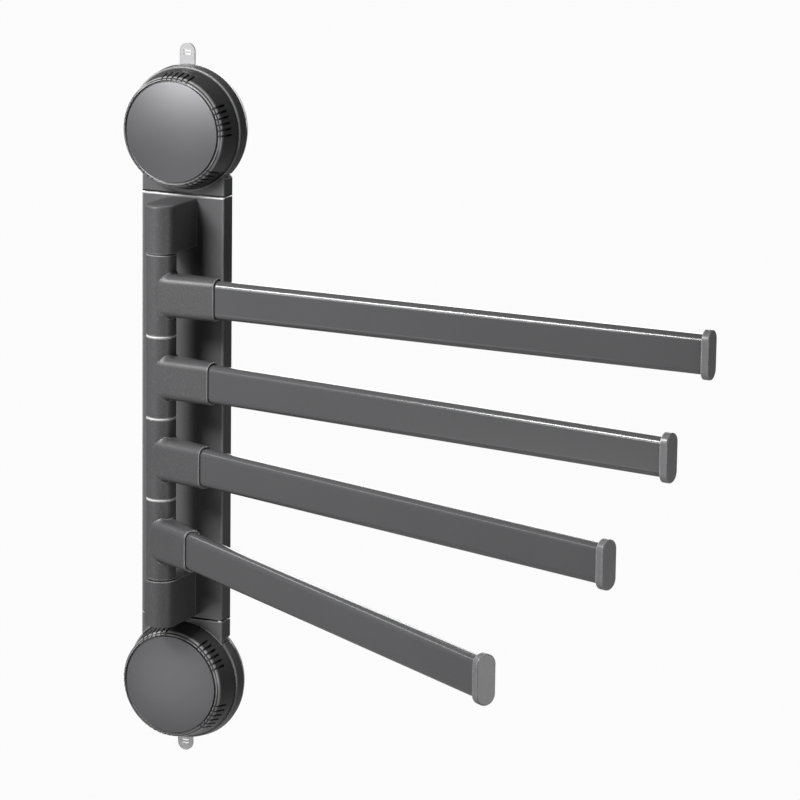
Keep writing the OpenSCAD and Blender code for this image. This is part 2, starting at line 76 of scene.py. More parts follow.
# Pale edges of the mouldings, partly from rubbing and partly a painted highlight, and the brightness of the
# painted shade where a gap lets no light in
EDGE_REACH = 0.65 * MM
PAINTED_GAP_SHADE = 0.004

# Distances within which points are merged, and the length under which an edge is dropped
MERGE = 1e-7
COPY_MERGE = 1e-6
SHORTEST_EDGE = 1e-8

# Length of the step at a groove's end, and the least wall between a groove and the face's pocket
GROOVE_END = 0.06 * MM

# Edges are shaded smooth under the first two angles, and rounded off over the third
SMOOTH_ANGLE = radians(32)
KNOB_SMOOTH_ANGLE = radians(28)
ROUNDED_ANGLE = radians(38)

# Steps round the revolved pieces
GRIP_STEPS = 240
DISC_STEPS = 180
BARREL_STEPS = 96
BUSH_BORE_STEPS = 64
ROD_BORE_STEPS = 48


# Places and sizes read from the frame

def box_size(node):
    low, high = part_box(node)
    return high - low


def box_centre(node):
    low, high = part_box(node)
    return (low + high) / 2


def front_of(node):
    """Distance from the wall to the node's frontmost point."""
    return -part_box(node)[0].y


def back_of(node):
    """Distance from the wall to the node's rearmost point."""
    return -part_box(node)[1].y


def arm_joint(number):
    return next(joint for joint in frame["joints"] if joint["name"] == f"arm_{number}_swing")


def arm_yaw(number):
    """How far the stored arm stands out from the wall, in radians."""
    return radians(-arm_joint(number)["range_deg"][0])


def arm_matrix(number):
    """Takes a solid drawn along +X from the pivot to the arm's stored place."""
    pivot = Vector(arm_joint(number)["pos_m"])
    return Matrix.Translation(pivot) @ Matrix.Rotation(-arm_yaw(number), 4, "Z")


def knob_matrix(side):
    """Takes a solid drawn along +Z from the wall to its place on the mount's axis."""
    centre = box_centre(f"{side}_knob_ring")
    return Matrix.Translation((centre.x, 0, centre.z)) @ Matrix.Rotation(pi / 2, 4, "X")


def seam_heights():
    """Heights of the seams between the middle panel and the two mount housings."""
    low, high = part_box("middle_panel")
    return high.z + SEAM_GAP / 2, low.z - SEAM_GAP / 2


class RackSizes(bpy.types.PropertyGroup):
    """Small forms that a user of the rack would change."""

    groove_groups: IntProperty(
        name="Groove groups", description="Groups of grip grooves round a knob", default=5)
    groove_count: IntProperty(name="Grooves", description="Grip grooves in one group", default=6)
    groove_step: FloatProperty(
        name="Groove step", description="Angle between neighbouring grooves", default=radians(6),
        subtype="ANGLE")
    groove_radius: FloatProperty(
        name="Groove radius", description="Half width of one grip groove", default=0.65 * MM, unit="LENGTH")
    groove_depth: FloatProperty(
        name="Groove depth", description="Depth of one grip groove", default=0.25 * MM, unit="LENGTH")
    groove_length: FloatProperty(
        name="Groove length", description="Length of the grip grooves along the knob", default=8.7 * MM,
        unit="LENGTH")
    upper_groove_turn: FloatProperty(
        name="Upper knob turn", description="Angle of the upper knob's first groove group",
        default=radians(15), subtype="ANGLE")
    lower_groove_turn: FloatProperty(
        name="Lower knob turn", description="Angle of the lower knob's first groove group",
        default=radians(39), subtype="ANGLE")
    knob_bevel: FloatProperty(
        name="Knob bevel", description="Bevel of the knob's front rim", default=1.5 * MM, unit="LENGTH")
    knob_wall: FloatProperty(
        name="Knob wall", description="Wall of the knob's skirt", default=2.4 * MM, unit="LENGTH")
    knob_web: FloatProperty(
        name="Knob web", description="Thickness of the knob's front web", default=2.2 * MM, unit="LENGTH")
    knob_edge: FloatProperty(
        name="Knob edge", description="Easing of the knob's edges", default=0.35 * MM, unit="LENGTH")
    face_gap: FloatProperty(
        name="Face gap", description="Dark gap round the knob's face disc", default=0.6 * MM, unit="LENGTH")
    face_trim: FloatProperty(
        name="Face trim", description="How much the face disc is drawn in round its edge", default=0.4 * MM,
        unit="LENGTH")
    face_dome: FloatProperty(
        name="Face dome", description="Rise of the knob's face disc", default=1.3 * MM, unit="LENGTH")
    face_edge: FloatProperty(
        name="Face edge", description="Rounding of the face disc's edge", default=0.35 * MM, unit="LENGTH")
    tube_round: FloatProperty(
        name="Tube rounding", description="Corner rounding of the flat tubes", default=4 * MM, unit="LENGTH")
    tube_edge: FloatProperty(
        name="Tube edge", description="Broken edge at the tube's end", default=0.2 * MM, unit="LENGTH")
    tube_fit: FloatProperty(
        name="Tube fit", description="Clearance round the tube in its sleeve", default=0.1 * MM,
        unit="LENGTH")
    tube_wall: FloatProperty(
        name="Tube wall", description="Wall of the flat tubes", default=1 * MM, unit="LENGTH")
    sleeve_round: FloatProperty(
        name="Sleeve rounding", description="Corner rounding of the sleeves", default=4.9 * MM, unit="LENGTH")
    sleeve_wall: FloatProperty(
        name="Sleeve wall", description="Wall of a sleeve at its mouth", default=1.3 * MM, unit="LENGTH")
    sleeve_root: FloatProperty(
        name="Sleeve root", description="Half width of the sleeve's taper at the pivot", default=8.9 * MM,
        unit="LENGTH")
    sleeve_fillet: FloatProperty(
        name="Sleeve fillet", description="Fillet between a sleeve and its barrel", default=2 * MM,
        unit="LENGTH")
    barrel_edge: FloatProperty(
        name="Barrel edge", description="Broken edge of the barrels", default=0.35 * MM, unit="LENGTH")
    mouth_edge: FloatProperty(
        name="Mouth edge", description="Rounding of the sleeve's mouth", default=0.4 * MM, unit="LENGTH")
    mouth_gap: FloatProperty(
        name="Mouth gap", description="Shadow groove round the tube at the sleeve's mouth", default=0.7 * MM,
        unit="LENGTH")
    mouth_depth: FloatProperty(
        name="Mouth depth", description="Depth of the shadow groove", default=1.2 * MM, unit="LENGTH")
    cap_bevel: FloatProperty(
        name="Cap bevel", description="Bevel of the end caps", default=0.8 * MM, unit="LENGTH")
    plug_gap: FloatProperty(
        name="Plug gap", description="Clearance of an end cap's plug in the tube", default=0.1 * MM,
        unit="LENGTH")
    bracket_round: FloatProperty(
        name="Bracket rounding", description="Edge rounding of the bearing brackets", default=1.4 * MM,
        unit="LENGTH")
    bracket_inner_round: FloatProperty(
        name="Bracket inner rounding", description="Edge rounding of the bracket's end at the barrels",
        default=0.5 * MM, unit="LENGTH")
    rod_entry: FloatProperty(
        name="Rod entry", description="How far the rod enters a bracket", default=21 * MM, unit="LENGTH")
    fine_bevel: FloatProperty(
        name="Fine bevel", description="Broken edge on moulded pieces", default=0.25 * MM, unit="LENGTH")


class RackFinish(bpy.types.PropertyGroup):
    """Colours of the rack's materials."""

    body: FloatVectorProperty(
        name="Body", description="Brackets and knuckles", default=(0.08, 0.08, 0.0825),
        subtype="COLOR", min=0, max=1)
    strip: FloatVectorProperty(
        name="Strip", description="Strip with its mount housings", default=(0.112, 0.112, 0.115),
        subtype="COLOR", min=0, max=1)
    knob: FloatVectorProperty(
        name="Knob", description="Knob rings", default=(0.06, 0.06, 0.062), subtype="COLOR", min=0, max=1)
    face: FloatVectorProperty(
        name="Face", description="Knob face discs", default=(0.19, 0.189, 0.197), subtype="COLOR",
        min=0, max=1)
    tube: FloatVectorProperty(
        name="Tube", description="Coated flat tubes", default=(0.092, 0.092, 0.095), subtype="COLOR",
        min=0, max=1)
    cap: FloatVectorProperty(
        name="Cap", description="End caps", default=(0.175, 0.175, 0.18), subtype="COLOR", min=0, max=1)
    clear: FloatVectorProperty(
        name="Clear", description="Clear suction cups", default=(0.5, 0.5, 0.51), subtype="COLOR",
        min=0, max=1)
    nylon: FloatVectorProperty(
        name="Nylon", description="White washers and bushes", default=(0.85, 0.85, 0.84), subtype="COLOR",
        min=0, max=1)
    steel: FloatVectorProperty(
        name="Steel", description="Rod, studs and screws", default=(0.6, 0.6, 0.62), subtype="COLOR",
        min=0, max=1)
    brass: FloatVectorProperty(
        name="Brass", description="Knob nuts", default=(0.62, 0.42, 0.17), subtype="COLOR", min=0, max=1)
    trim: FloatVectorProperty(
        name="Trim", description="Black trim", default=(0.02, 0.02, 0.021), subtype="COLOR", min=0, max=1)


class RackStage(bpy.types.PropertyGroup):
    """Camera, lights and floor."""

    camera_place: FloatVectorProperty(
        name="Camera place", description="Where the camera stands", default=(1.1495, -2.2247, 0.5520),
        unit="LENGTH")
    camera_yaw: FloatProperty(
        name="Camera yaw", description="Turn of the camera about the upright", default=radians(24.4645),
        subtype="ANGLE")
    camera_pitch: FloatProperty(
        name="Camera pitch", description="Tilt of the camera, negative looks down", default=radians(-12.372),
        subtype="ANGLE")
    camera_roll: FloatProperty(
        name="Camera roll", description="Roll of the camera", default=radians(0.8016), subtype="ANGLE")
    camera_lens: FloatProperty(name="Lens", description="Focal length in millimetres", default=189.06)
    floor_drop: FloatProperty(
        name="Floor drop", description="Height of the floor under the origin", default=1, unit="LENGTH")
    key_power: FloatProperty(
        name="Key power", description="Power of the main softbox in watts", default=13.5)
    front_power: FloatProperty(
        name="Front power", description="Power of the front softbox in watts", default=3.1)
    card_power: FloatProperty(
        name="Card power", description="Power of the low front card in watts", default=0.65)
    left_power: FloatProperty(
        name="Left power", description="Power of the long softbox on the left in watts", default=2.5)
    back_power: FloatProperty(
        name="Back power", description="Power of the softbox behind in watts", default=9)
    side_power: FloatProperty(
        name="Side power", description="Power of the softbox on the right in watts", default=0.95)
    world_light: FloatProperty(
        name="World light", description="Strength of the surrounding light", default=0.02)
    shadow_share: FloatProperty(
        name="Shadow share", description="How much of the floor's shading the camera sees", default=0.03)
    mirrored_share: FloatProperty(
        name="Mirrored share", description="Share of the white background that reflections show", default=0.1)


# Shader sums

class Wire:
    """A shader socket that takes part in sums, each sum adding its Math node."""

    def __init__(self, nodes, socket):
        self.nodes = nodes
        self.socket = socket

    def math(self, operation, first, second, clamp=False):
        settings = {"operation": operation, "use_clamp": clamp}
        return self.nodes.make("ShaderNodeMath", settings, {0: first, 1: second})

    def __add__(self, other):
        return self.math("ADD", self, other)

    def __radd__(self, other):
        return self.math("ADD", other, self)

    def __sub__(self, other):
        return self.math("SUBTRACT", self, other)

    def __rsub__(self, other):
        return self.math("SUBTRACT", other, self)

    def __mul__(self, other):
        return self.math("MULTIPLY", self, other)

    def __rmul__(self, other):
        return self.math("MULTIPLY", other, self)

    def clamped(self):
        """The value held between nothing and one."""
        return self.math("ADD", self, 0, clamp=True)


class Nodes:
    """Makes nodes in one tree."""

    def __init__(self, tree):
        self.tree = tree
        tree.nodes.clear()

    def make(self, kind, settings=None, inputs=None, output=0):
        """Adds a node: its settings first, then the values or links of its sockets. Gives one output."""
        node = self.tree.nodes.new(kind)
        for name, value in (settings or {}).items():
            if name == "stops":
                set_stops(node.color_ramp, value)
            else:
                setattr(node, name, value)
        for name, value in (inputs or {}).items():
            if isinstance(value, Wire):
                self.tree.links.new(value.socket, node.inputs[name])
            else:
                node.inputs[name].default_value = value
        return Wire(self, node.outputs[output]) if node.outputs else None

    def mix_colour(self, factor, first, second):
        """Mix of two colours, by their places among the Mix node's sockets."""
        return self.make("ShaderNodeMix", {"data_type": "RGBA"}, {0: factor, 6: first, 7: second}, 2)

    def place(self):
        """Position on the piece, in metres of the shared frame."""
        return self.make("ShaderNodeTexCoord", output=3)

    def part(self, vector, number):
        """X, Y or Z of a vector."""
        return self.make("ShaderNodeSeparateXYZ", None, {"Vector": vector}, number)

    def noise(self, scale, detail, roughness, stretch=None):
        """Cloudy pattern with so many waves a metre, closer together along a stretched axis."""
        where = self.place()
        if stretch:
            where = self.make("ShaderNodeMapping", None, {"Vector": where, "Scale": stretch})
        inputs = {"Vector": where, "Scale": scale, "Detail": detail, "Roughness": roughness}
        return self.make("ShaderNodeTexNoise", None, inputs)

    def ramp(self, value, stops):
        return self.make("ShaderNodeValToRGB", {"stops": stops}, {"Fac": value})

    def bump(self, height, distance, strength):
        inputs = {"Height": height, "Distance": distance, "Strength": strength}
        return self.make("ShaderNodeBump", None, inputs)

    def edges(self, reach, gain=9.0):
        """One on the piece's edges, falling to nothing over the reach. More gain makes them wider."""
        rounded = self.make("ShaderNodeBevel", {"samples": 4}, {"Radius": reach})
        surface = self.make("ShaderNodeNewGeometry", output=1)
        match = self.make("ShaderNodeVectorMath", {"operation": "DOT_PRODUCT"}, {0: rounded, 1: surface}, 1)
        return ((1 - match) * gain).clamped()

    def attribute(self, name):
        """A number that the piece's mesh holds."""
        return self.make("ShaderNodeAttribute", {"attribute_name": name}, output=2)

    def band(self, value, low, high, soft):
        """One between two values, with soft ends."""
        return ((value - low) * (1 / soft)).clamped() * ((high - value) * (1 / soft)).clamped()

    def output(self, shader, kind="ShaderNodeOutputMaterial"):
        self.make(kind, None, {"Surface": shader})

    def surface(self, inputs):
        """Ends a material in a Principled shader with these inputs."""
        self.output(self.make("ShaderNodeBsdfPrincipled", None, inputs))


def set_stops(ramp, stops):
    """Gives a colour ramp these (place, colour) stops only."""
    while len(ramp.elements) > 1:
        ramp.elements.remove(ramp.elements[-1])
    ramp.elements[0].position, ramp.elements[0].color = stops[0]
    for place, colour in stops[1:]:
        ramp.elements.new(place).color = colour


def grey(value):
    return (value, value, value, 1)


def tinted(colour, share=1):
    """The colour made darker or paler by a share, at full opacity."""
    return (*[min(1, c * share) for c in colour], 1)


def new_material(name):
    material = bpy.data.materials.new(name)
    material.use_nodes = True
    return material, Nodes(material.node_tree)


# Materials

def moulded_plastic(name, colour, roughness=0.42, grain=0.012 * MM, speckle=0.0, specular=0.4, edge_rubbing_and_highlight=0.7,
                    wear=""):
    """Satin moulding: grain with pale specks, faint flow mottling, rubbed patches, and pale edges that are
    partly rubbed and partly a painted highlight.

    The pale edges are found from the shape, or are where the mesh's attribute that the last argument names is
    one.
    """
    material, nodes = new_material(name)
    flow = nodes.noise(38, 3, 0.55)
    fine = nodes.noise(2600, 2, 0.6)
    coarse = nodes.noise(1050, 2, 0.6)
    rubbed = nodes.noise(120, 4, 0.6)
    shade = nodes.mix_colour(flow, tinted(colour, 0.94), tinted(colour, 1.06))
    shade = nodes.mix_colour((rubbed - 0.55) * 0.5, shade, tinted(colour, 1.25))
    specks = nodes.ramp(coarse, [(0.5, grey(0)), (0.72, grey(1))])
    shade = nodes.mix_colour(specks * speckle, shade, tinted(colour, 2.2))
    # Pale edges, partly rubbed and partly a painted highlight
    edges = nodes.attribute(wear) if wear else nodes.edges(EDGE_REACH)
    shade = nodes.mix_colour((edges * (0.45 + rubbed)).clamped(), shade, grey(edge_rubbing_and_highlight))
    rough = roughness + (rubbed - 0.5) * 0.1 + (fine - 0.5) * 0.06
    normal = nodes.bump(fine + coarse * (4 * speckle), grain, 0.6)
    nodes.surface({
        "Base Color": shade, "Roughness": rough, "Normal": normal, "Specular IOR Level": specular})
    return material


def strip_with_rubbing_and_painted_light(name, colour, seams, front):
    """Smooth satin moulding with pale edges, partly rubbed and partly a painted highlight: each seam is a
    painted shadow line over a painted highlight on the front edge.
    """
    material, nodes = new_material(name)
    flow = nodes.noise(30, 3, 0.55)
    fine = nodes.noise(2400, 2, 0.6)
    scuffs = nodes.noise(260, 4, 0.65, stretch=(1, 1, 0.25))
    shade = nodes.mix_colour(flow, tinted(colour, 0.94), tinted(colour, 1.06))
    shade = nodes.mix_colour((scuffs - 0.6) * 0.4, shade, tinted(colour, 1.5))
    height = nodes.part(nodes.place(), 2)
    depth = 0 - nodes.part(nodes.place(), 1)
    # Pale edges, partly rubbed and partly a painted highlight
    shade = nodes.mix_colour(nodes.edges(0.8 * MM, 18) * (0.6 + scuffs * 0.6), shade, grey(0.7))
    at_front = nodes.band(depth, front - 1.5 * SEAM_WIDTH, front + SEAM_WIDTH, SEAM_SOFTNESS)
    # At each seam: painted shadow on the edge above it, and a painted highlight on the front edge below it,
    # the lower seam's painted dimmer
    for seam, highlight_level in zip(seams, SEAM_PAINTED_HIGHLIGHT):
        over = nodes.band(height, seam, seam + 1.4 * SEAM_WIDTH, SEAM_SOFTNESS)
        under = nodes.band(height, seam - SEAM_WIDTH, seam, SEAM_SOFTNESS) * at_front
        shade = nodes.mix_colour(over * 0.95, shade, grey(PAINTED_GAP_SHADE))
        shade = nodes.mix_colour((under * (0.7 + scuffs * 0.4)).clamped(), shade, grey(highlight_level))
    rough = 0.26 + (flow - 0.5) * 0.06 + (scuffs - 0.5) * 0.08
    nodes.surface({
        "Base Color": shade, "Roughness": rough, "Normal": nodes.bump(fine, 0.008 * MM, 0.4),
        "Specular IOR Level": 0.4})
    return material


def coated_metal(name, colour):
    """Powder coat on a drawn tube: orange peel and a slight drift of gloss along it."""
    material, nodes = new_material(name)
    drift = nodes.noise(16, 2, 0.5)
    peel = nodes.noise(700, 2, 0.5)
    speck = nodes.noise(3200, 1, 0.5)
    shade = nodes.mix_colour(drift, tinted(colour, 0.96), tinted(colour, 1.05))
    specks = nodes.ramp(speck, [(0.62, grey(0)), (0.78, grey(0.5))])
    shade = nodes.mix_colour(specks, shade, tinted(colour, 1.5))
    nodes.surface({
        "Base Color": shade, "Roughness": 0.17 + (drift - 0.5) * 0.06,
        "Normal": nodes.bump(peel, 0.0008 * MM, 0.35), "Specular IOR Level": 0.5})
    return material


def satin_disc(name, colour):
    """Fine metallic satin coat of the knob's face disc, with a pale edge that is partly rubbed and partly a
    painted highlight, and painted shade, dark and not metallic, where its edge meets the gap round it.
    """
    material, nodes = new_material(name)
    flake = nodes.noise(4200, 1, 0.5)
    drift = nodes.noise(30, 2, 0.5)
    shade = nodes.mix_colour(flake, tinted(colour, 0.92), tinted(colour, 1.1))
    # Pale edge, partly rubbed and partly a painted highlight
    shade = nodes.mix_colour(nodes.edges(0.7 * MM) * 0.7, shade, grey(0.6))
    # Painted shade where the disc's edge meets the gap round it
    rim = nodes.attribute(RIM_PAINTED_SHADE)
    shade = nodes.mix_colour(rim * 0.95, shade, grey(PAINTED_GAP_SHADE))
    rough = 0.32 + (flake - 0.5) * 0.08 + (drift - 0.5) * 0.05
    nodes.surface({
        "Base Color": shade, "Roughness": rough, "Normal": nodes.bump(flake, 0.006 * MM, 0.4),
        "Metallic": 0.8 - rim * 0.8})
    return material


def clear_vinyl(name, colour):
    """Soft clear vinyl with a faint milky haze and flow lines."""
    material, nodes = new_material(name)
    flow = nodes.noise(60, 3, 0.5, stretch=(1, 1, 3))
    haze = nodes.ramp(flow, [(0.3, grey(0.5)), (0.75, grey(0.66))])
    shade = nodes.mix_colour(flow, tinted(colour, 0.93), tinted(colour))
    nodes.surface({
        "Base Color": shade, "Roughness": 0.16 + (flow - 0.5) * 0.1, "Alpha": haze,
        "Normal": nodes.bump(flow, 0.05 * MM, 0.3)})
    return material


def nylon(name, colour):
    """Plain nylon with a faint cloud in its colour."""
    material, nodes = new_material(name)
    cloud = nodes.noise(300, 2, 0.5)
    shade = nodes.mix_colour(cloud, tinted(colour, 0.95), tinted(colour))
    nodes.surface({
        "Base Color": shade, "Roughness": 0.38 + (cloud - 0.5) * 0.1,
        "Normal": nodes.bump(cloud, 0.01 * MM, 0.4)})
    return material


def turned_metal(name, colour):
    """Turned or drawn metal with fine lines round it and slight tarnish."""
    material, nodes = new_material(name)
    lines = nodes.noise(900, 2, 0.5, stretch=(0.2, 0.2, 4))
    tarnish = nodes.noise(90, 3, 0.6)
    shade = nodes.mix_colour(tarnish, tinted(colour, 0.8), tinted(colour))
    rough = 0.28 + (lines - 0.5) * 0.12 + (tarnish - 0.5) * 0.1
    nodes.surface({
        "Base Color": shade, "Roughness": rough, "Metallic": 1.0,
        "Normal": nodes.bump(lines, 0.008 * MM, 0.5)})
    return material


def make_materials(finish):
    """One material for each slot of the record, by the slot's name."""
    return {
        "body_plastic": moulded_plastic("satin_body", finish.body, speckle=0.35),
        "strip_plastic": strip_with_rubbing_and_painted_light("satin_strip", finish.strip, seam_heights(), front_of("middle_panel")),
        # The knob's rim gets pale edges, partly rubbed and partly a painted highlight
        "knob_plastic": moulded_plastic(
            "satin_knob", finish.knob, roughness=0.24, grain=0.006 * MM, specular=0.5, edge_rubbing_and_highlight=0.42,
            wear=RIM_RUBBING_AND_HIGHLIGHT),
        "face_disc": satin_disc("satin_face", finish.face),
        "painted_tube": coated_metal("coated_tube", finish.tube),
        "cap_plastic": moulded_plastic("satin_cap", finish.cap, roughness=0.28),
        "clear_cup": clear_vinyl("clear_vinyl", finish.clear),
        "steel": turned_metal("plated_steel", finish.steel),
        "nylon": nylon("white_nylon", finish.nylon),
        "brass": turned_metal("turned_brass", finish.brass),
        "dark_trim": moulded_plastic("black_trim", finish.trim, roughness=0.5),
    }


# Filled by the materials operator, by slot
MATERIALS = {}


# Mesh helpers

def new_object(name, data):
    """Adds an object to the scene."""
    item = bpy.data.objects.new(name, data)
    bpy.context.scene.collection.objects.link(item)
    return item


def mesh_object(name, solid):
    """Adds an object made of a bmesh, which is used up."""
    mesh = bpy.data.meshes.new(name)
    solid.to_mesh(mesh)
    solid.free()
    return new_object(name, mesh)


def add_piece(name, solid, body, slot, node):
    """Turns a bmesh into a piece that rides on a body, in its slot's material, in place of a fixed node."""
    piece = mesh_object(name, solid)
    piece.data.materials.append(MATERIALS[slot])
    weigh_normals(piece)
    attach(piece, body)
    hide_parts(node)


def weigh_normals(piece):
    """Keeps flat faces flat in the shading, so that only the eased edges between them turn."""
    modifier = piece.modifiers.new("weighted normals", "WEIGHTED_NORMAL")
    modifier.keep_sharp = True


def smooth_by_angle(solid, angle=SMOOTH_ANGLE):
    """Smooth shading, with edges sharper than the angle kept sharp."""
    for face in solid.faces:
        face.smooth = True
    for edge in solid.edges:
        edge.smooth = len(edge.link_faces) == 2 and edge.calc_face_angle(0) < angle


def revolve(profile, steps, angle=2 * pi):
    """Solid of revolution about Z, or a sector of one, from (radius, height) points."""
    solid = bmesh.new()
    points = [solid.verts.new((radius, 0, height)) for radius, height in profile]
    edges = [solid.edges.new(pair) for pair in zip(points, points[1:])]
    bmesh.ops.spin(
        solid, geom=points + edges, cent=(0, 0, 0), axis=(0, 0, 1), angle=angle, steps=steps,
        use_merge=angle == 2 * pi)
    clean(solid)
    return solid


def clean(solid):
    """Merges doubles, drops edges of no length and turns all faces outwards."""
    bmesh.ops.remove_doubles(solid, verts=solid.verts, dist=MERGE)
    bmesh.ops.dissolve_degenerate(solid, edges=solid.edges, dist=SHORTEST_EDGE)
    bmesh.ops.recalc_face_normals(solid, faces=solid.faces)


def repeat_around(solid, count):
    """Turns copies of a sector about Z until they close the round."""
    sector = [*solid.verts, *solid.edges, *solid.faces]
    for k in range(1, count):
        made = bmesh.ops.duplicate(solid, geom=sector)["geom"]
        verts = [item for item in made if isinstance(item, bmesh.types.BMVert)]
        turn = Matrix.Rotation(2 * pi * k / count, 3, "Z")
        bmesh.ops.rotate(solid, verts=verts, cent=(0, 0, 0), matrix=turn)
    bmesh.ops.remove_doubles(solid, verts=solid.verts, dist=COPY_MERGE)
    bmesh.ops.recalc_face_normals(solid, faces=solid.faces)


def arc(centre, radius, start, end, steps):
    """Points of an arc, by its angles in degrees, from start to end."""
    turns = [radians(start + (end - start) * k / steps) for k in range(steps + 1)]
    return [(centre[0] + radius * cos(t), centre[1] + radius * sin(t)) for t in turns]


def eased(corners, steps=4):
    """Profile through (radius, height, easing) corners, each rounded off over its easing."""
    places = [Vector((radius, height)) for radius, height, _ in corners]
    profile = []
    for k, (place, (_, _, easing)) in enumerate(zip(places, corners)):
        if easing == 0:
            profile.append(tuple(place))
            continue
        start = place + (places[k - 1] - place).normalized() * easing
        end = place + (places[k + 1] - place).normalized() * easing
        for step in range(steps + 1):
            share = step / steps
            profile.append(tuple(start.lerp(place, share).lerp(place.lerp(end, share), share)))
    return profile


def quarter(steps):
    """Angles from 0 to a right angle."""
    return [pi / 2 * k / steps for k in range(steps + 1)]


def bar_ring(x, width, height, rounding, inset, corner_steps=10):
    """Round-cornered outline across the X axis, drawn in on all sides by the inset."""
    radius = max(rounding - inset, 0)
    corner_y = width / 2 - inset - radius
    corner_z = height / 2 - inset - radius
    ring = []
    for corner, (side_y, side_z) in enumerate([(1, 1), (-1, 1), (-1, -1), (1, -1)]):
        for turn in quarter(corner_steps):
            y = side_y * corner_y + radius * cos(turn + corner * pi / 2)
            z = side_z * corner_z + radius * sin(turn + corner * pi / 2)
            ring.append((x, y, z))
    return ring


def edge_loop(solid, points):
    """Closed loop of edges through the points."""
    ring = [solid.verts.new(point) for point in points]
    return [solid.edges.new(pair) for pair in zip(ring, ring[1:] + ring[:1])]


def loft(rings, closed=False):
    """Bridges rings of equally many points. A closed loft runs back to its first ring, or has flat ends."""
    solid = bmesh.new()
    loops = [edge_loop(solid, ring) for ring in rings]
    following = loops[1:] + loops[:1] if closed else loops[1:]
    for loop, next_loop in zip(loops, following):
        bmesh.ops.bridge_loops(solid, edges=loop + next_loop)
    if not closed:
        bmesh.ops.contextual_create(solid, geom=loops[0])
        bmesh.ops.contextual_create(solid, geom=loops[-1])
    clean(solid)
    return solid


def combine(first, second, operation):
    """Boolean of two bmeshes, with the exact solver. Both are used up."""
    target, tool = [mesh_object("working", solid) for solid in (first, second)]
    modifier = target.modifiers.new("combine", "BOOLEAN")
    modifier.operation = operation
    modifier.solver = "EXACT"
    modifier.object = tool
    bpy.context.view_layer.update()
    evaluated = target.evaluated_get(bpy.context.evaluated_depsgraph_get())
    result = bmesh.new()
    result.from_mesh(evaluated.to_mesh())
    evaluated.to_mesh_clear()
    for working in (target, tool):
        mesh = working.data
        bpy.data.objects.remove(working)
        bpy.data.meshes.remove(mesh)
    return result


def smooth_group():
    """Node group that merges a mesh's loose triangles and shades its gentle edges smooth."""
    name = "smooth_fixed_node"
    group = bpy.data.node_groups.get(name)
    if group is not None:
        return group
    group = bpy.data.node_groups.new(name, "GeometryNodeTree")
    for way in ("INPUT", "OUTPUT"):
        group.interface.new_socket("Geometry", in_out=way, socket_type="NodeSocketGeometry")
    start = group.nodes.new("NodeGroupInput")
    end = group.nodes.new("NodeGroupOutput")
    merge = group.nodes.new("GeometryNodeMergeByDistance")
    merge.inputs["Distance"].default_value = COPY_MERGE
    faces = group.nodes.new("GeometryNodeSetShadeSmooth")
    edges = group.nodes.new("GeometryNodeSetShadeSmooth")
    edges.domain = "EDGE"
    angle = group.nodes.new("GeometryNodeInputMeshEdgeAngle")
    gentle = group.nodes.new("FunctionNodeCompare")
    gentle.data_type = "FLOAT"
    gentle.operation = "LESS_THAN"
    gentle.inputs[1].default_value = SMOOTH_ANGLE
    link = group.links.new
    link(start.outputs[0], merge.inputs[0])
    link(merge.outputs[0], faces.inputs["Geometry"])
    link(angle.outputs["Unsigned Angle"], gentle.inputs[0])
    link(faces.outputs[0], edges.inputs["Geometry"])
    link(gentle.outputs[0], edges.inputs["Shade Smooth"])
    link(edges.outputs[0], end.inputs[0])
    return group


def finish_node(name, slot):
    """Gives a fixed node the material of its slot and smooth shading."""
    node = frame["nodes"][name]
    node.data.materials.clear()
    node.data.materials.append(MATERIALS[slot])
    node.modifiers.new("smooth", "NODES").node_group = smooth_group()
    weigh_normals(node)


def broken_edges(name, width):
    """Rounds a fixed node's sharp edges with a modifier, and leaves its mesh alone."""
    node = frame["nodes"][name]
    weld = node.modifiers.new("weld", "WELD")
    weld.merge_threshold = COPY_MERGE
    bevel = node.modifiers.new("broken edges", "BEVEL")
    bevel.width = width
    bevel.segments = 2
    bevel.limit_method = "ANGLE"
    bevel.angle_limit = ROUNDED_ANGLE


# Pieces

def distance_from_axis(vertex):
    return sqrt(vertex.co.x ** 2 + vertex.co.y ** 2)


def sink_grooves(solid, wear, sizes, rim, stop, least):
    """Sinks a group of rounded grooves into the middle of the ring's sector, and clears there the mark for
    the pale edges, which are partly rubbed and partly a painted highlight.

    They run from the rim down to the stop's height, and never nearer to the axis than the least radius.
    """
    middle = pi / sizes.groove_groups
    first = middle - (sizes.groove_count - 1) / 2 * sizes.groove_step
    grooves = [first + k * sizes.groove_step for k in range(sizes.groove_count)]
    for vertex in solid.verts:
        radius = distance_from_axis(vertex)
        if radius < least or vertex.co.z < stop:
            continue
        around = atan2(vertex.co.y, vertex.co.x)
        off = min(abs(around - groove) for groove in grooves) * rim
        if off < sizes.groove_radius:
            sunk = sizes.groove_depth * sqrt(1 - (off / sizes.groove_radius) ** 2)
            floor = max(min(radius, rim) - sunk, least)
            if radius > floor:
                vertex.co.x *= floor / radius
                vertex.co.y *= floor / radius
                vertex[wear] = 0.0


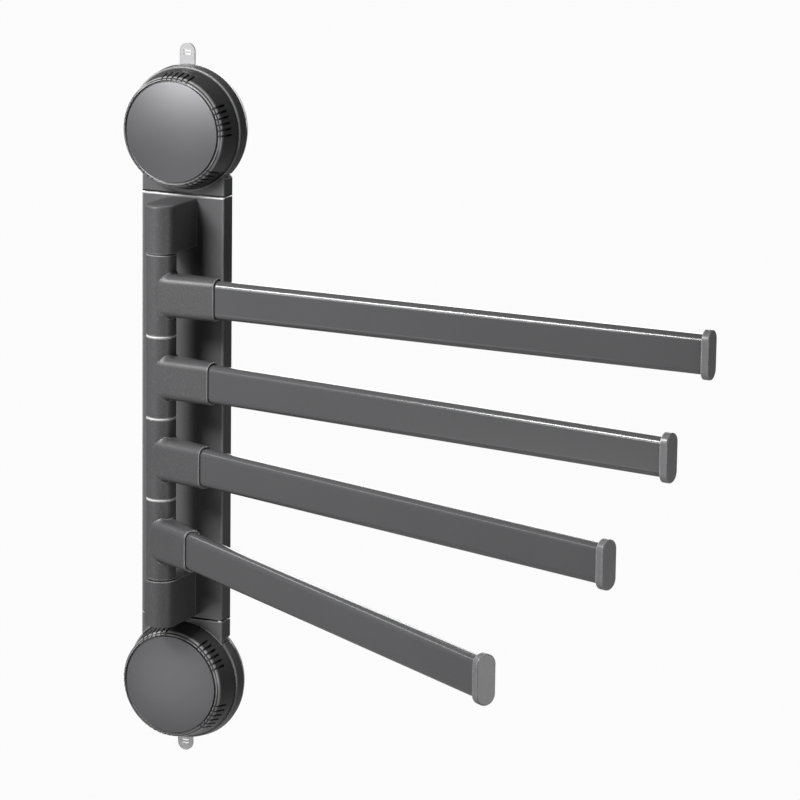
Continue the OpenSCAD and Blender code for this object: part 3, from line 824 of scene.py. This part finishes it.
def knob_ring(side, sizes):
    """Grip ring of a knob: revolved flaring skirt, bevelled rim, and grip grooves sunk into it."""
    node = f"{side}_knob_ring"
    base = box_size(node).x / 2
    front = front_of(node)
    back = back_of(node)
    seat = back_of(f"{side}_knob_face")
    pocket = box_size(f"{side}_knob_face").x / 2 + sizes.face_gap
    bevel = sizes.knob_bevel
    edge = sizes.knob_edge
    rim = rim_radius(node, bevel)
    shoulder = front - bevel
    stop = shoulder - sizes.groove_length
    flare = (base - rim) / (shoulder - back)

    def on_skirt(height):
        return rim + flare * (shoulder - height), height

    bevelled = [(rim - bevel * share, front - bevel * (1 - share), 0) for share in (0.7, 0.4)]
    lip = eased([(pocket, seat, 0), (pocket, front, edge / 3), (rim - bevel, front, edge / 3), *bevelled,
                 (rim, shoulder, edge), (*on_skirt(shoulder - 2 * edge), 0)])
    levels = [shoulder - edge - (shoulder - edge - stop) * k / 6 for k in range(1, 7)]
    skirt = [on_skirt(height) for height in (*levels, stop - GROOVE_END, back + edge)]
    cavity = rim - sizes.knob_wall
    web = seat - sizes.knob_web
    inside = [(base - edge, back), (cavity, back), (cavity, web), (0, web)]
    sector = 2 * pi / sizes.groove_groups
    solid = revolve([(0, seat), *lip[:-1], *skirt, *inside], GRIP_STEPS, sector)
    # Marks the lip and the shoulder for pale edges, partly rubbed and partly a painted highlight
    wear = solid.verts.layers.float.new(RIM_RUBBING_AND_HIGHLIGHT)
    for vertex in solid.verts:
        on_lip = vertex.co.z > front - edge and distance_from_axis(vertex) > pocket + 0.4 * edge
        if on_lip or abs(vertex.co.z - shoulder) < 1.2 * edge:
            vertex[wear] = 1.0
    sink_grooves(solid, wear, sizes, rim, stop - GROOVE_END / 2, pocket + GROOVE_END)
    repeat_around(solid, sizes.groove_groups)
    turn = sizes.upper_groove_turn if side == "upper" else sizes.lower_groove_turn
    solid.transform(Matrix.Rotation(turn - sector / 2, 4, "Z"))
    solid.transform(knob_matrix(side))
    smooth_by_angle(solid, KNOB_SMOOTH_ANGLE)
    add_piece(f"{side}_grip_ring", solid, f"{side}_knob", "knob_plastic", node)


def rim_radius(node, bevel):
    """Radius of a knob's front rim behind its bevel."""
    centre = box_centre(node)
    deepest = front_of(node) - bevel - 0.05 * MM
    return max(
        sqrt((v.co.x - centre.x) ** 2 + (v.co.z - centre.z) ** 2)
        for v in frame["nodes"][node].data.vertices if -v.co.y > deepest)


def knob_face(side, sizes):
    """Domed face disc with a softly rounded edge."""
    node = f"{side}_knob_face"
    radius = box_size(node).x / 2 - sizes.face_trim
    back = back_of(node)
    front = front_of(node)
    edge = sizes.face_edge
    inner = radius - edge
    dome_radius = (radius ** 2 + sizes.face_dome ** 2) / (2 * sizes.face_dome)

    def on_dome(r):
        return r, front - dome_radius + sqrt(dome_radius ** 2 - r ** 2)

    steps = 24
    dome = [on_dome(inner * k / steps) for k in range(steps + 1)]
    corner = arc((inner, dome[-1][1] - edge), edge, 90, 0, 5)[1:]
    solid = revolve([*dome, *corner, (radius, back), (0, back)], DISC_STEPS)
    # Marks the disc's edge for painted shade next to the gap round it
    shade = solid.verts.layers.float.new(RIM_PAINTED_SHADE)
    for vertex in solid.verts:
        vertex[shade] = float(distance_from_axis(vertex) > inner + 0.3 * edge)
    solid.transform(knob_matrix(side))
    smooth_by_angle(solid)
    add_piece(f"{side}_face_disc", solid, f"{side}_knob", "face_disc", node)


def arm_extent(node, number):
    """Start, end, height and width of a node in its arm's own axes."""
    back = arm_matrix(number).inverted()
    points = [back @ v.co for v in frame["nodes"][node].data.vertices]
    along, across, up = zip(*points)
    return min(along), max(along), max(up) - min(up), max(across) - min(across)


def tube(number, sizes):
    """Flat tube: the outer skin lofted there and the inner skin back."""
    node = f"arm_{number}_tube"
    start, end, height, width = arm_extent(node, number)
    wall = sizes.tube_wall
    edge = sizes.tube_edge
    stations = [(start, 0), (end - edge, 0), (end, edge), (end, wall), (start, wall)]
    rings = [bar_ring(x, width, height, sizes.tube_round, inset) for x, inset in stations]
    solid = loft(rings, closed=True)
    solid.transform(arm_matrix(number))
    smooth_by_angle(solid)
    add_piece(f"arm_{number}_flat_tube", solid, f"arm_{number}", "painted_tube", node)


def end_cap(number, sizes):
    """End cap: plug in the tube, and a round-ended flange with a bevelled rim, in one loft."""
    node = f"arm_{number}_end_cap"
    start, end, height, width = arm_extent(node, number)
    _, tube_end, tube_height, tube_width = arm_extent(f"arm_{number}_tube", number)
    gap = sizes.tube_wall + sizes.plug_gap
    fine = sizes.fine_bevel
    bevel = sizes.cap_bevel
    steps = 8

    def plug(x, inset):
        return bar_ring(x, tube_width, tube_height, sizes.tube_round, gap + inset, steps)

    def flange(x, inset):
        return bar_ring(x, width, height, width / 2, inset, steps)

    rings = [plug(start, fine), plug(start + fine, 0), plug(tube_end, 0)]
    rings += [flange(tube_end + fine * (1 - cos(t)), fine * (1 - sin(t))) for t in quarter(3)]
    rings += [flange(end - bevel * (1 - sin(t)), bevel * (1 - cos(t))) for t in quarter(5)]
    solid = loft(rings)
    solid.transform(arm_matrix(number))
    smooth_by_angle(solid)
    add_piece(f"arm_{number}_cap", solid, f"arm_{number}", "cap_plastic", node)


def bore_tool(radius, half_length, steps):
    """Cylinder along Z that cuts a bore."""
    profile = [(0, -half_length), (radius, -half_length), (radius, half_length), (0, half_length)]
    return revolve(profile, steps)


def knuckle_shape(sizes):
    """Knuckle along +X: barrel and filleted, tapered sleeve, less the bore, the pocket and the groove."""
    bush_radius = box_size("arm_1_bush").x / 2
    tube_start, _, tube_height, tube_width = arm_extent("arm_1_tube", 1)
    low, high, barrel_height, _ = arm_extent("arm_1_knuckle", 1)
    barrel_radius = -low
    half_width = tube_width / 2 + sizes.sleeve_wall
    half_height = tube_height / 2 + sizes.sleeve_wall
    edge = sizes.barrel_edge
    top = barrel_height / 2
    barrel = revolve(
        [(0, -top), (barrel_radius - edge, -top), (barrel_radius, edge - top), (barrel_radius, top - edge),
         (barrel_radius - edge, top), (0, top)], BARREL_STEPS)
    fillet = sizes.sleeve_fillet
    lip = sizes.mouth_edge
    steps = 24
    fillet_stations = [(barrel_radius + 1.6 * fillet) * k / steps for k in range(steps // 4, steps + 1)]
    rings = []
    for x in (0, *fillet_stations, high - lip):
        half_taper = sizes.sleeve_root + (half_width - sizes.sleeve_root) * x / high
        rings.append(bar_ring(x, 2 * half_taper, 2 * half_height, sizes.sleeve_round, 0))
    rings += [bar_ring(high - lip * (1 - sin(t)), 2 * half_width, 2 * half_height, sizes.sleeve_round,
                       lip * (1 - cos(t))) for t in quarter(4)[1:]]
    sleeve = loft(rings)
    for vertex in sleeve.verts:
        reach = distance_from_axis(vertex)
        away = max(0, reach - barrel_radius)
        if 0 < vertex.co.x and away < fillet:
            rise = (fillet - sqrt(fillet ** 2 - (fillet - away) ** 2)) * vertex.co.x / reach
            vertex.co.z *= 1 + rise / half_height
    solid = combine(barrel, sleeve, "UNION")
    solid = combine(solid, bore_tool(bush_radius, 2 * top, BUSH_BORE_STEPS), "DIFFERENCE")
    for start, clearance in ((tube_start, sizes.tube_fit), (high - sizes.mouth_depth, sizes.mouth_gap)):
        pocket = [bar_ring(x, tube_width, tube_height, sizes.tube_round, -clearance)
                  for x in (start, 2 * high)]
        solid = combine(solid, loft(pocket), "DIFFERENCE")
    return solid


def bearing_bracket(side, sizes):
    """Bearing bracket: outline with a round nose, lofted upright with rounded rims, bored for the rod."""
    node = f"{side}_bracket"
    low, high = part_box(node)
    radius = (high.x - low.x) / 2
    axis_y = low.y + radius
    turn = 1 if side == "upper" else -1
    inner, outer = (low.z, high.z) if side == "upper" else (high.z, low.z)
    steps = 40

    def ring(height, inset):
        reach = radius - inset
        turns = [pi * k / steps for k in range(steps + 1)]
        nose = [(-reach * cos(t), axis_y - reach * sin(t), height) for t in turns]
        return [*nose, (reach, high.y, height), (-reach, high.y, height)]

    small = sizes.bracket_inner_round
    large = sizes.bracket_round
    rings = [ring(inner + turn * small * (1 - cos(t)), small * (1 - sin(t))) for t in quarter(4)]
    rings += [ring(outer - turn * large * (1 - sin(t)), large * (1 - cos(t))) for t in quarter(6)]
    solid = loft(rings)
    bore = bore_tool(box_size("pivot_rod").x / 2, sizes.rod_entry, ROD_BORE_STEPS)
    bmesh.ops.translate(bore, vec=(0, axis_y, inner), verts=bore.verts)
    solid = combine(solid, bore, "DIFFERENCE")
    smooth_by_angle(solid)
    add_piece(f"{side}_bearing_bracket", solid, "root", "body_plastic", node)


# Operators

class RACK_OT_materials(bpy.types.Operator):
    """Make the rack's materials."""

    bl_idname = "rack.materials"
    bl_label = "Materials"

    def execute(self, context):
        MATERIALS.clear()
        MATERIALS.update(make_materials(context.scene.rack_finish))
        return {"FINISHED"}


class RACK_OT_knobs(bpy.types.Operator):
    """Model the grip rings and face discs of both knobs, and finish the pieces behind them."""

    bl_idname = "rack.knobs"
    bl_label = "Knobs"

    def execute(self, context):
        sizes = context.scene.rack_sizes
        for side in MOUNTS:
            knob_ring(side, sizes)
            knob_face(side, sizes)
            finish_node(f"{side}_knob_nut", "brass")
            finish_node(f"{side}_pull_stud", "steel")
            finish_node(f"{side}_thrust_washer", "nylon")
        return {"FINISHED"}


class RACK_OT_mounts(bpy.types.Operator):
    """Finish the mount housings and the suction cups."""

    bl_idname = "rack.mounts"
    bl_label = "Mounts"

    def execute(self, context):
        sizes = context.scene.rack_sizes
        for side in MOUNTS:
            broken_edges(f"{side}_housing", sizes.fine_bevel)
            finish_node(f"{side}_housing", "strip_plastic")
            finish_node(f"{side}_suction_cup", "clear_cup")
        return {"FINISHED"}


class RACK_OT_strip(bpy.types.Operator):
    """Finish the middle panel, model the bearing brackets and finish what holds them."""

    bl_idname = "rack.strip"
    bl_label = "Strip"

    def execute(self, context):
        sizes = context.scene.rack_sizes
        broken_edges("middle_panel", sizes.fine_bevel)
        finish_node("middle_panel", "strip_plastic")
        for side in MOUNTS:
            bearing_bracket(side, sizes)
        finish_node("bracket_screws", "steel")
        finish_node("lap_screws", "steel")
        return {"FINISHED"}


class RACK_OT_pivot(bpy.types.Operator):
    """Finish the pivot rod, its plug and the washers."""

    bl_idname = "rack.pivot"
    bl_label = "Pivot"

    def execute(self, context):
        finish_node("pivot_rod", "steel")
        finish_node("rod_plug", "dark_trim")
        finish_node("barrel_washers", "nylon")
        finish_node("bracket_washers", "dark_trim")
        return {"FINISHED"}


class RACK_OT_arms(bpy.types.Operator):
    """Model the knuckles, flat tubes and end caps of the four arms."""

    bl_idname = "rack.arms"
    bl_label = "Arms"

    def execute(self, context):
        sizes = context.scene.rack_sizes
        shape = knuckle_shape(sizes)
        for number in ARMS:
            solid = shape.copy()
            solid.transform(arm_matrix(number))
            smooth_by_angle(solid)
            body = f"arm_{number}"
            add_piece(f"{body}_swivel", solid, body, "body_plastic", f"{body}_knuckle")
            tube(number, sizes)
            end_cap(number, sizes)
            finish_node(f"arm_{number}_bush", "nylon")
        shape.free()
        return {"FINISHED"}


class RACK_OT_stage(bpy.types.Operator):
    """Set up the camera, the softboxes, the pale surroundings and the floor."""

    bl_idname = "rack.stage"
    bl_label = "Stage"

    def execute(self, context):
        stage = context.scene.rack_stage
        context.scene.view_settings.view_transform = "Standard"
        self.add_camera(context, stage)
        strip = Vector((0.05, -0.03, 0.02))
        tips = Vector((0.3, -0.2, -0.02))
        self.add_light("key_softbox", stage.key_power, strip, 1.05, around=-24, up=36, size=(0.45, 0.23))
        self.add_light("front_softbox", stage.front_power, strip, 1.3, around=-25, up=14, size=(0.4, 0.35))
        self.add_light("low_card", stage.card_power, strip, 1.3, around=-28, up=-22, size=(0.5, 0.35))
        self.add_light("left_softbox", stage.left_power, strip, 1.3, around=-82, up=32, size=(1.5, 0.14))
        self.add_light("back_softbox", stage.back_power, strip, 1.6, around=194, up=12, size=(1.0, 0.8))
        self.add_light("side_softbox", stage.side_power, tips, 0.42, around=80, up=-13, size=(0.3, 0.25))
        self.make_world(context, stage)
        self.add_floor(stage)
        return {"FINISHED"}

    def add_camera(self, context, stage):
        data = bpy.data.cameras.new("camera")
        data.lens = stage.camera_lens
        data.sensor_width = 36
        data.clip_end = 100
        camera = new_object("camera", data)
        turn = (Euler((0, 0, stage.camera_yaw)).to_matrix()
                @ Euler((pi / 2 + stage.camera_pitch, 0, 0)).to_matrix()
                @ Euler((0, 0, stage.camera_roll)).to_matrix())
        camera.matrix_world = Matrix.Translation(stage.camera_place) @ turn.to_4x4()
        context.scene.camera = camera

    def add_light(self, name, power, middle, distance, around, up, size):
        """Softbox that faces the middle, from so many degrees right of the front and above the level."""
        data = bpy.data.lights.new(name, "AREA")
        data.shape = "RECTANGLE"
        data.size, data.size_y = size
        data.energy = power
        light = new_object(name, data)
        light.visible_camera = False
        around, up = radians(around), radians(up)
        outward = Vector((sin(around) * cos(up), -cos(around) * cos(up), sin(up)))
        light.location = middle + outward * distance
        light.rotation_euler = (-outward).to_track_quat("-Z", "Y").to_euler()

    def background_rays(self, nodes, stage):
        """One for camera and transmission rays, and the mirrored share for glossy rays."""
        camera, glossy, through = [nodes.make("ShaderNodeLightPath", output=k) for k in (0, 3, 6)]
        return (camera + through + glossy * stage.mirrored_share).clamped()

    def make_world(self, context, stage):
        world = bpy.data.worlds.new("pale_surroundings")
        world.use_nodes = True
        context.scene.world = world
        nodes = Nodes(world.node_tree)
        shown = self.background_rays(nodes, stage)
        light = nodes.make("ShaderNodeBackground", None, {"Color": grey(1), "Strength": stage.world_light})
        white = nodes.make("ShaderNodeBackground", None, {"Color": grey(1), "Strength": 1.0})
        mixed = nodes.make("ShaderNodeMixShader", None, {0: shown, 1: light, 2: white})
        nodes.output(mixed, "ShaderNodeOutputWorld")

    def add_floor(self, stage):
        solid = bmesh.new()
        bmesh.ops.create_grid(solid, x_segments=1, y_segments=1, size=30)
        bmesh.ops.translate(solid, vec=(0, 0, -stage.floor_drop), verts=solid.verts)
        floor = mesh_object("floor", solid)
        material, nodes = new_material("pale_floor")
        paint = nodes.make("ShaderNodeBsdfDiffuse", None, {"Color": grey(0.7)})
        glow = nodes.make("ShaderNodeEmission", None, {"Color": grey(1), "Strength": 1.0})
        shown = self.background_rays(nodes, stage) * (1 - stage.shadow_share)
        nodes.output(nodes.make("ShaderNodeMixShader", None, {0: shown, 1: paint, 2: glow}))
        floor.data.materials.append(material)


class RACK_PT_panel(bpy.types.Panel):
    """Lists the rack's operators in the sidebar."""

    bl_idname = "RACK_PT_panel"
    bl_label = "Swivel Rack"
    bl_space_type = "VIEW_3D"
    bl_region_type = "UI"
    bl_category = "Swivel Rack"

    def draw(self, context):
        for operator in OPERATORS:
            self.layout.operator(operator.bl_idname)


OPERATORS = (
    RACK_OT_materials, RACK_OT_stage, RACK_OT_mounts, RACK_OT_strip, RACK_OT_pivot, RACK_OT_knobs,
    RACK_OT_arms)
GROUPS = (RackSizes, RackFinish, RackStage)


def register():
    for item in (*GROUPS, *OPERATORS, RACK_PT_panel):
        bpy.utils.register_class(item)
    bpy.types.Scene.rack_sizes = PointerProperty(type=RackSizes)
    bpy.types.Scene.rack_finish = PointerProperty(type=RackFinish)
    bpy.types.Scene.rack_stage = PointerProperty(type=RackStage)


def unregister():
    del bpy.types.Scene.rack_stage
    del bpy.types.Scene.rack_finish
    del bpy.types.Scene.rack_sizes
    for item in reversed((*GROUPS, *OPERATORS, RACK_PT_panel)):
        bpy.utils.unregister_class(item)


def main():
    register()
    bpy.ops.rack.materials()
    bpy.ops.rack.stage()
    bpy.ops.rack.mounts()
    bpy.ops.rack.strip()
    bpy.ops.rack.pivot()
    bpy.ops.rack.knobs()
    bpy.ops.rack.arms()


if __name__ == "__main__":
    main()
